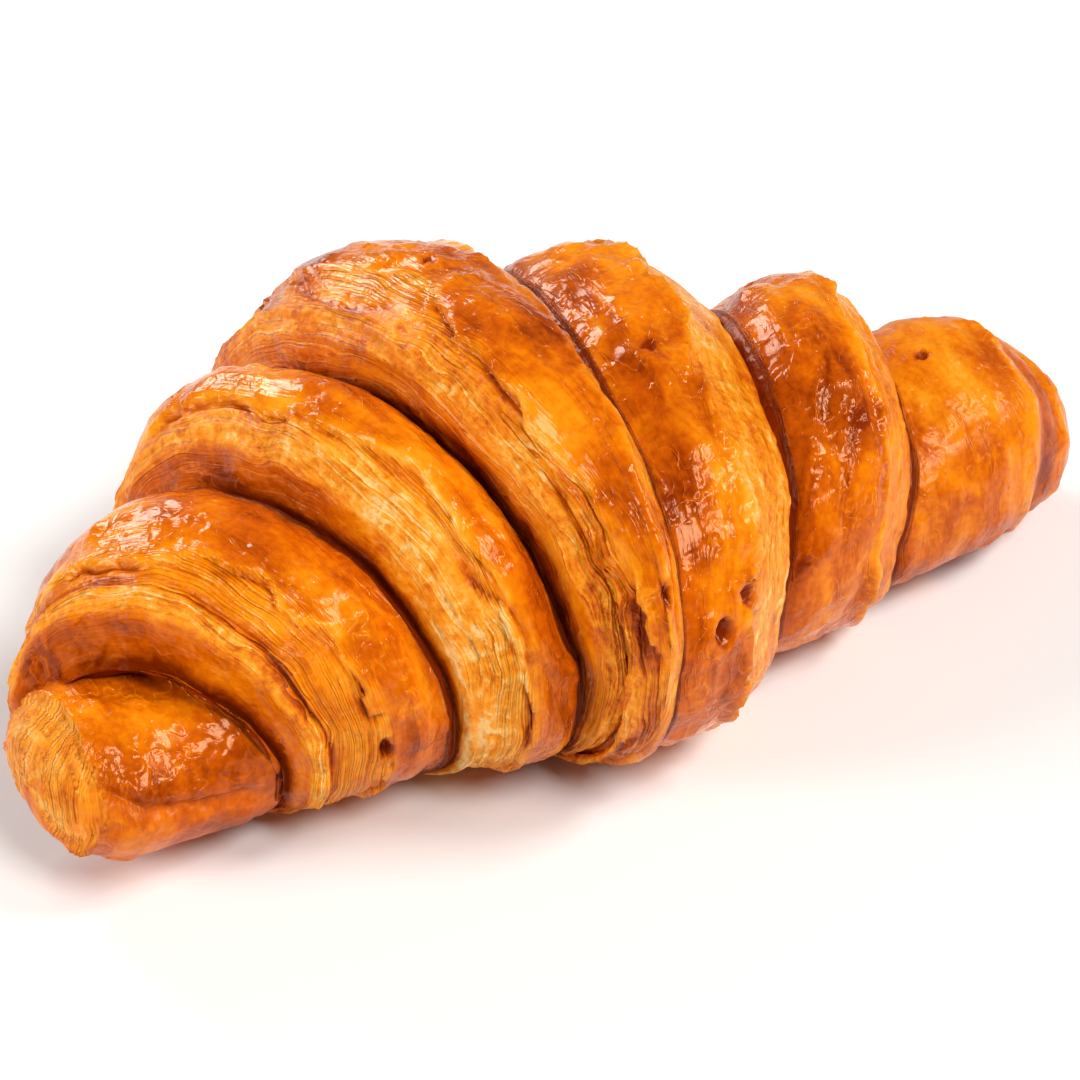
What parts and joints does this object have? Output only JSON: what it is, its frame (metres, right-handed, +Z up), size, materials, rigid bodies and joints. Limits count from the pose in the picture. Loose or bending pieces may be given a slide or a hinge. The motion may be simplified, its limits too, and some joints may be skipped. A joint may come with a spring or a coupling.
{
  "type": "croissant",
  "caption": "Baked butter croissant, a bent crescent roll of laminated dough with stepped turns, resting on its flat sole.",
  "frame": {"origin": "centre of the bounding box in plan, at the height of the flat sole", "axes": "+Z up from the sole, +X along the roll towards the far horn, -Y towards the front, where the point of the dough is tucked under and both horns bend"},
  "size_m": [0.157, 0.087, 0.0561],
  "materials": {
    "egg_washed_crust": null
  },
  "bodies": {
    "root": {"croissant": "egg_washed_crust"}
  },
  "joints": []
}
